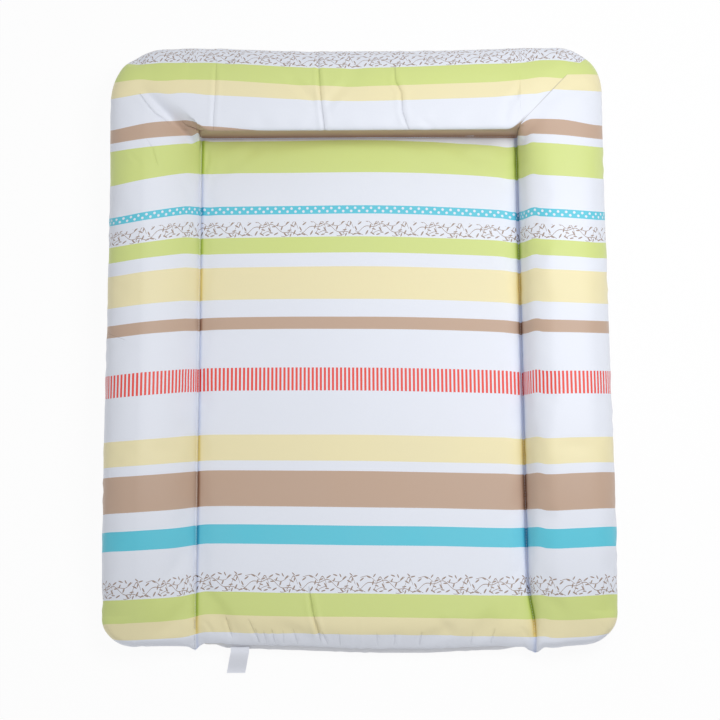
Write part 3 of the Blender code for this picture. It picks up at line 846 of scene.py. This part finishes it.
def printMaterial():
    look = Look("printed coated cotton", Specular_IOR_Level=.5, Coat_Weight=.2, Coat_Roughness=.45,
        Sheen_Weight=.12, Sheen_Roughness=.5)
    uv = look.node("ShaderNodeUVMap", {"uv_map": "onSides"})[0]
    u, v, _ = look.node("ShaderNodeSeparateXYZ", {}, {0: uv})
    other = look.node("ShaderNodeUVMap", {"uv_map": "onHead"})[0]
    onHead = look.node("ShaderNodeSeparateXYZ", {}, {0: other})[1]
    panel = (look.node("ShaderNodeAttribute", {"attribute_name": "panel"})[2] + .5).held()
    startU, startV = printLay["uvStart"]
    u, v = (u - startU) * 1000, (v + (onHead - v) * panel - startV) * 1000
    bleed = (look.noise(uv, 900, 2) - .5) * .5
    edge = v + bleed

    def bandOf(name):
        total = None
        for low, high in printBands[name][1]:
            one = edge.between(low, high)
            total = one if total is None else total + one
        return total

    colour = printBands["white"]
    for name in ("yellow", "green", "brown"):
        colour = look.mix(bandOf(name), colour, printBands[name][0])
    # the cyan ribbon carries two staggered rows of white dots
    pitch, radius = printBands["dotPitch"], printBands["dotRadius"]
    dots = None
    for row, height in enumerate(printBands["dotRows"]):
        off = ((u / pitch + .5 * row).part() - .5) * pitch
        one = (off ** 2 + (v - height) ** 2) < radius ** 2
        dots = one if dots is None else dots.highest(one)
    colour = look.mix(bandOf("cyan") * (1 - dots), colour, printBands["cyan"][0])
    hatch = (u / printBands["hatchPitch"]).part() < printBands["hatchShare"]
    colour = look.mix(bandOf("red") * hatch, colour, printBands["red"][0])
    up = None
    for low, high in printBands["vine"][1]:
        one = (v - low) * edge.between(low, high)
        up = one if up is None else up + one
    colour = look.mix(bandOf("vine") * vineMask(u, up) * .9, colour, printBands["vine"][0])
    # ink takes a little unevenly, and the cloth greys softly in places
    patchy = look.noise(uv, 9, 3)
    grainy = look.noise(uv, 420, 2)
    colour = look.mix((patchy - .35).highest(0) * .10 + grainy * .05, colour, tone(188, 190, 200))
    # deep in a channel each ink is deepened as painted shade and painted bounce light, and the right head
    # corner has a fine seam
    near = look.node("ShaderNodeAttribute", {"attribute_name": "paintedChannelShade"})[2]
    seam = abs(look.node("ShaderNodeAttribute", {"attribute_name": "mitre"})[2]) * 1000
    started, ended = (float(np.interp(x, across, acrossLength)) * 1000
        for x in (side, topCover["mitreEnd"]))
    seam = (1 - (seam / 1.1).lowest(1)) * (u > started) * (1 - (u - ended) / 8).held()
    # painted shade and painted bounce light: the ink is multiplied by itself where the channel shade lies
    shadedInk = colour
    for share in (near, near * near * .6):
        shadedInk = look.node("ShaderNodeMix", {"data_type": "RGBA", "blend_type": "MULTIPLY"},
            {0: share, 6: shadedInk, 7: colour})[2]
    # painted shade: the mitre seam is drawn darker, darkest at the inner corner where it is folded deepest
    foldShade = (1 - (u - started) / 26).held()
    colour = look.mix(seam * (.5 + .45 * foldShade), shadedInk, tone(138, 128, 124))
    weave = weaveHeight(u, v, .62)
    slub = look.noise(look.stretched(uv, (160, 900, 1)), 1, 2) + \
        look.noise(look.stretched(uv, (900, 160, 1)), 1, 2)
    normal = look.bump(weave * .5 + slub * .7 + look.noise(uv, 60, 3) * .8 - seam * 5, .22, .0002)
    normal = look.bump(sharpCreases(look), 1, .001, normal)
    return look.finish(colour, .56 + .12 * grainy - .05 * patchy, normal)


printed.data.materials.append(printMaterial())
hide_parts("top_cover")
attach(printed, "root")
print("print done")


# the plain back sheet

backSheet = {"columns": 48, "rows": 96, "rimSteps": 14, "besideChannel": .003, "tuck": .007,
    "pinch": .0020, "pinchWidth": .0012, "ripple": .0010, "ripplePitch": .027, "rippleAt": .004,
    "rippleWidth": .006}


def backStations(half, reach, middle):
    rim = half - reach + reach * np.sin(np.linspace(0, np.pi / 2, backSheet["rimSteps"] + 1))
    inner = np.linspace(0, half - reach, middle + 1)
    return np.concatenate([inner, rim[1:]])


def buildBackSheet():
    sheet = backSheet
    beside = np.array([-1, 0, 1]) * sheet["besideChannel"]
    halfAcross = np.sort(np.concatenate([backStations(mat["halfWidth"], mat["sideRound"],
        sheet["columns"]), side + beside]))
    xLine = np.concatenate([-halfAcross[:0:-1], halfAcross])
    upper = backStations(mat["halfLength"], mat["sideRound"], sheet["rows"] // 2)
    lower = backStations(mat["halfLength"], mat["footRound"], sheet["rows"] // 2)
    yLine = np.sort(np.concatenate([-lower[:0:-1], upper, head + beside]))
    xs, ys = np.meshgrid(xLine, yLine)
    points = backPoint(xs, ys)
    rimNear = np.minimum(np.minimum(mat["halfWidth"] - np.abs(xs), mat["halfLength"] - ys),
        ys + mat["halfLength"])
    way = inwardsFrom(xs, ys)
    points += way * (sheet["pinch"] * hill(rimNear, sheet["pinchWidth"]))[..., None]
    wave = ripple(np.where(np.abs(xs) / mat["halfWidth"] > np.abs(ys) / mat["halfLength"], ys, xs),
        sheet["ripplePitch"], .9)
    near = hill(rimNear - sheet["rippleAt"], sheet["rippleWidth"])
    points += way * (sheet["ripple"] * np.abs(wave) * near)[..., None]
    points[..., 2] = np.maximum(points[..., 2] - sheetGap, 0)
    points = np.pad(points, ((1, 1), (1, 1), (0, 0)), mode="edge")
    rim = np.ones(points.shape[:2], bool)
    rim[1:-1, 1:-1] = False
    points += np.pad(way, ((1, 1), (1, 1), (0, 0)), mode="edge") * sheet["tuck"] * rim[..., None]
    made = meshFrom("backCover", points, gridFaces(*points.shape[:2])[:, ::-1])
    layer = made.data.uv_layers.new(name="weave")
    line = made.data.vertices
    for loop in made.data.loops:
        layer.data[loop.index].uv = line[loop.vertex_index].co.xy + Vector((.5, .5))
    choose(made)
    bpy.ops.object.shade_smooth()
    return made


def plainMaterial():
    look = Look("plain white cotton", Specular_IOR_Level=.3, Sheen_Weight=.15, Sheen_Roughness=.5)
    place = look.node("ShaderNodeTexCoord")[3]
    x, y, _ = look.node("ShaderNodeSeparateXYZ", {}, {0: place})
    patchy, grainy = look.noise(place, 8, 3), look.noise(place, 520, 2)
    colour = look.mix(patchy * .12 + grainy * .08, tone(240, 241, 246), tone(205, 207, 216))
    weave = weaveHeight(x, y, .0007)
    slub = look.noise(look.stretched(place, (180, 1000, 400)), 1, 2)
    normal = look.bump(weave * .5 + slub + look.noise(place, 70, 3) * .6, .3, .0002)
    return look.finish(colour, .68 + .12 * grainy, normal)


backed = buildBackSheet()
backed.data.materials.append(plainMaterial())
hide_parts("back_cover")
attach(backed, "root")
print("back sheet", len(backed.data.polygons), "faces")


# the four wadding fills

fills = {"centre_pad": "centrePad", "left_bolster_fill": "leftBolsterFill",
    "right_bolster_fill": "rightBolsterFill", "head_bolster_fill": "headBolsterFill"}
fillShape = {"shrink": .0055, "voxel": .007, "weld": .00002, "smooth": 12, "packing": .6}


def waddingMaterial():
    look = Look("polyester wadding", Specular_IOR_Level=.25, Sheen_Weight=.4, Sheen_Roughness=.6)
    place = look.node("ShaderNodeTexCoord")[3]
    strands = look.noise(look.stretched(place, (60, 420, 420)), 1, 4, .7)
    crossed = look.noise(look.stretched(place, (420, 60, 300)), 1, 4, .7)
    tufts = look.noise(place, 38, 4, .6)
    colour = look.mix(tufts * .5 + strands * .2, tone(244, 243, 238), tone(206, 204, 196))
    normal = look.bump(strands + crossed + tufts * 1.5, .7, .0012)
    return look.finish(colour, .8 + .15 * tufts, normal)


wadding = waddingMaterial()


def buildFill(node, name):
    shape = fillShape
    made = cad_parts[node].copy()
    made.data = made.data.copy()
    made.name = name
    made.parent = None
    for key in [k for k in made.keys() if k.startswith("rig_")]:
        del made[key]
    bpy.context.scene.collection.objects.link(made)
    made.data.materials.clear()
    choose(made)
    bpy.ops.object.mode_set(mode="EDIT")
    bpy.ops.mesh.select_all(action="SELECT")
    bpy.ops.mesh.remove_doubles(threshold=shape["weld"])
    bpy.ops.mesh.normals_make_consistent(inside=False)
    bpy.ops.object.mode_set(mode="OBJECT")
    made.data.remesh_voxel_size = shape["voxel"]
    bpy.ops.object.voxel_remesh()
    bpy.ops.object.mode_set(mode="EDIT")
    bpy.ops.mesh.select_all(action="SELECT")
    bpy.ops.transform.shrink_fatten(value=-shape["shrink"])
    bpy.ops.mesh.vertices_smooth(factor=.5, repeat=shape["smooth"])
    bpy.ops.object.mode_set(mode="OBJECT")
    bpy.ops.object.shade_smooth()
    made.data.materials.append(wadding)
    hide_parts(node)
    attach(made, "root")
    print("fill", name, len(made.data.polygons), "faces")


for node, name in fills.items():
    buildFill(node, name)


# the care label

careLabel = {"middle": -.163, "width": .025, "tuck": .006, "reach": .028, "drop": .0122, "lean": .006,
    "ply": .0003, "apart": .0005, "lift": .0004, "lowest": .0008, "steps": 22, "columns": 12,
    "curl": .0010}


def buildLabel():
    label = careLabel
    run = np.linspace(0, label["tuck"] + label["reach"], label["steps"] + 1)
    whole = np.concatenate([run, run[::-1]])
    ply = np.concatenate([np.ones(len(run)), -np.ones(len(run))])
    share = np.linspace(-1, 1, label["columns"] + 1)
    lengths, sides = np.meshgrid(whole, share, indexing="ij")
    ply = ply[:, None] + 0 * lengths
    out = np.clip(lengths - label["tuck"], 0, None) / label["reach"]
    x = label["middle"] + sides * label["width"] / 2 - label["lean"] * out
    y = label["tuck"] - mat["halfLength"] - lengths
    close = 1 - out ** 6
    z = mat["footSeam"] - label["drop"] * ease(out) + ply * label["apart"] / 2 * (.3 + .7 * close) + \
        label["curl"] * out * (sides ** 2 - .3) + label["lift"]
    points = np.stack([x, y, np.maximum(z, label["lowest"])], axis=-1)
    made = meshFrom("careLabel", points, gridFaces(*points.shape[:2]))
    choose(made)
    wall = made.modifiers.new("ply", "SOLIDIFY")
    wall.thickness, wall.offset = label["ply"], 0
    bpy.ops.object.modifier_apply(modifier=wall.name)
    bpy.ops.object.shade_smooth_by_angle(angle=math.radians(40))
    return made


def labelMaterial():
    look = Look("satin label tape", Specular_IOR_Level=.5, Sheen_Weight=.2, Sheen_Roughness=.35)
    place = look.node("ShaderNodeTexCoord")[3]
    x, y, _ = look.node("ShaderNodeSeparateXYZ", {}, {0: place})
    ribs, picks = x.wave(.0008), y.wave(.0005)
    soft = look.noise(place, 90, 3)
    colour = look.mix(.25 + .2 * ribs + .25 * soft, tone(246, 248, 255), tone(226, 230, 243))
    normal = look.bump(ribs * .7 + picks * .3, .35, .0001)
    return look.finish(colour, .42 + .12 * soft, normal)


label = buildLabel()
label.data.materials.append(labelMaterial())
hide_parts("care_label")
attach(label, "root")
print("label done")


# channel and mitre stitches

stitch = {"length": .0030, "pitch": .0038, "radius": .00028, "above": .0004, "sides": 6, "start": -.405}


def oneStitch():
    # a short thread that dips into the cloth at both ends
    bpy.ops.object.select_all(action="DESELECT")
    bpy.ops.mesh.primitive_cylinder_add(vertices=stitch["sides"], radius=stitch["radius"],
        depth=stitch["length"], rotation=(0, math.pi / 2, 0))
    made = bpy.context.object
    bpy.ops.object.transform_apply(location=False, rotation=True, scale=False)
    bpy.ops.object.mode_set(mode="EDIT")
    bpy.ops.mesh.select_all(action="SELECT")
    work = bmesh.from_edit_mesh(made.data)
    for edge in work.edges:
        edge.select = abs(edge.verts[0].co.x - edge.verts[1].co.x) > .5 * stitch["length"]
    bpy.ops.mesh.subdivide(number_cuts=2)
    work = bmesh.from_edit_mesh(made.data)
    for vert in work.verts:
        end = abs(vert.co.x) / (stitch["length"] / 2)
        vert.co.z -= stitch["radius"] * 2.2 * end ** 3
        vert.co.y *= 1 - .4 * end ** 2
    bmesh.update_edit_mesh(made.data)
    bpy.ops.object.mode_set(mode="OBJECT")
    return made


def seamRun(points, up):
    # stitches along a line of points, each copy with its own mesh points
    model = oneStitch()
    shape = np.array([v.co for v in model.data.vertices])
    faces = [list(p.vertices) for p in model.data.polygons]
    bpy.data.objects.remove(model)
    gone = lengthAlong(points)
    middles = np.arange(stitch["pitch"] / 2, gone[-1], stitch["pitch"])
    at = np.stack([np.interp(middles, gone, points[:, k]) for k in range(3)], axis=1)
    ahead = np.stack([np.interp(middles + .0005, gone, points[:, k]) for k in range(3)], axis=1) - at
    ahead /= np.maximum(np.linalg.norm(ahead, axis=1, keepdims=True), 1e-9)
    aside = np.cross(up, ahead)
    aside /= np.linalg.norm(aside, axis=1, keepdims=True)
    above = np.cross(ahead, aside)
    made = at[:, None] + shape[None, :, :1] * ahead[:, None] + shape[None, :, 1:2] * aside[:, None] + \
        (shape[None, :, 2:] + stitch["above"]) * above[:, None]
    return made.reshape(-1, 3), [[i + n * len(shape) for i in f] for n in range(len(at)) for f in faces]


def threadMaterial():
    look = Look("white sewing thread", Specular_IOR_Level=.4, Sheen_Weight=.2, Sheen_Roughness=.4)
    place = look.node("ShaderNodeTexCoord")[3]
    x, y, _ = look.node("ShaderNodeSeparateXYZ", {}, {0: place})
    twist = (x + y).wave(.00055)
    colour = look.mix(.3 + .3 * twist, tone(240, 240, 243), tone(208, 209, 216))
    return look.finish(colour, .5 + .1 * look.noise(place, 300, 2), look.bump(twist, .5, .0001))


def buildStitches():
    left, right = (int(np.argmin(np.abs(across - way * side))) for way in (-1, 1))
    row = int(np.argmin(np.abs(along - head)))
    first = int(np.argmin(np.abs(along - stitch["start"])))
    runs = [(coverPoints[first:row, left], 1), (coverPoints[first:row, right], 1),
        (coverPoints[row, left:right + 1], 1)]
    ys = np.linspace(stitch["start"], head, 200)
    for way in (-1, 1):
        runs.append((backPoint(0 * ys + way * side, ys), -1))
    xs = np.linspace(-side, side, 150)
    runs.append((backPoint(xs, 0 * xs + head), -1))
    points, faces, count = [], [], 0
    for line, way in runs:
        found, made = seamRun(line + np.array([0, 0, sheetGap * way]), np.array([0, 0, way]))
        points.append(found)
        faces += [[i + count for i in f] for f in made]
        count += len(found)
    mesh = bpy.data.meshes.new("channelStitches")
    mesh.from_pydata(np.concatenate(points).tolist(), [], faces)
    made = bpy.data.objects.new("channelStitches", mesh)
    bpy.context.scene.collection.objects.link(made)
    choose(made)
    bpy.ops.object.mode_set(mode="EDIT")
    bpy.ops.mesh.select_all(action="SELECT")
    bpy.ops.mesh.normals_make_consistent(inside=False)
    bpy.ops.object.mode_set(mode="OBJECT")
    bpy.ops.object.shade_smooth()
    return made


stitches = buildStitches()
stitches.data.materials.append(threadMaterial())
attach(stitches, "root")
print("stitches", len(stitches.data.polygons), "faces")


# floor and light

studio = {"floor": 6.0, "lampAt": (.56, .28, 1.28), "lampSize": .80, "lampPower": 9.6, "worldLevel": .52,
    "fromLeft": .25, "lampTo": (0, -.05, 0), "cameraWhite": .93}


def buildStudio():
    bpy.ops.object.select_all(action="DESELECT")
    bpy.ops.mesh.primitive_plane_add(size=studio["floor"], location=(0, 0, -.0006))
    floor = bpy.context.object
    floor.name = "paleFloor"
    bpy.ops.object.transform_apply(location=True, rotation=False, scale=False)
    look = Look("pale studio floor", Specular_IOR_Level=.1)
    look.finish(tone(250, 250, 251), .9)
    ray = look.node("ShaderNodeLightPath")
    seen = ray[0].highest(ray[3]).highest(ray[6])
    white = look.node("ShaderNodeEmission", {}, {"Color": (1, 1, 1, 1), "Strength": 1.0})[0]
    shader = Wire(look, look.shader.outputs[0])
    mixed = look.node("ShaderNodeMixShader", {}, {0: seen * studio["cameraWhite"], 1: shader, 2: white})[0]
    look.feed(look.tree.nodes["Material Output"].inputs["Surface"], mixed)
    floor.data.materials.append(look.material)
    bpy.ops.object.light_add(type="AREA", location=studio["lampAt"])
    lamp = bpy.context.object
    lamp.data.shape, lamp.data.size, lamp.data.energy = "DISK", studio["lampSize"], studio["lampPower"]
    way = Vector(studio["lampTo"]) - Vector(studio["lampAt"])
    lamp.rotation_euler = way.to_track_quat("-Z", "Y").to_euler()
    world = bpy.data.worlds.new("soft studio")
    bpy.context.scene.world = world
    world.use_nodes = True
    tree = world.node_tree
    sky = tree.nodes["Background"]
    sky.inputs[0].default_value = (.985, .99, 1, 1)
    path = tree.nodes.new("ShaderNodeLightPath")
    place = tree.nodes.new("ShaderNodeTexCoord")
    split = tree.nodes.new("ShaderNodeSeparateXYZ")
    tree.links.new(place.outputs["Generated"], split.inputs[0])
    # the room is a little brighter on the left
    soft = tree.nodes.new("ShaderNodeMath")
    soft.operation = "MULTIPLY_ADD"
    soft.inputs[1].default_value = -studio["fromLeft"] * studio["worldLevel"]
    soft.inputs[2].default_value = studio["worldLevel"]
    tree.links.new(split.outputs[0], soft.inputs[0])
    level = tree.nodes.new("ShaderNodeMix")
    level.inputs[3].default_value = 1
    tree.links.new(soft.outputs[0], level.inputs[2])
    tree.links.new(path.outputs["Is Camera Ray"], level.inputs[0])
    tree.links.new(level.outputs[0], sky.inputs[1])


buildStudio()
bpy.context.scene.view_settings.view_transform = "Standard"
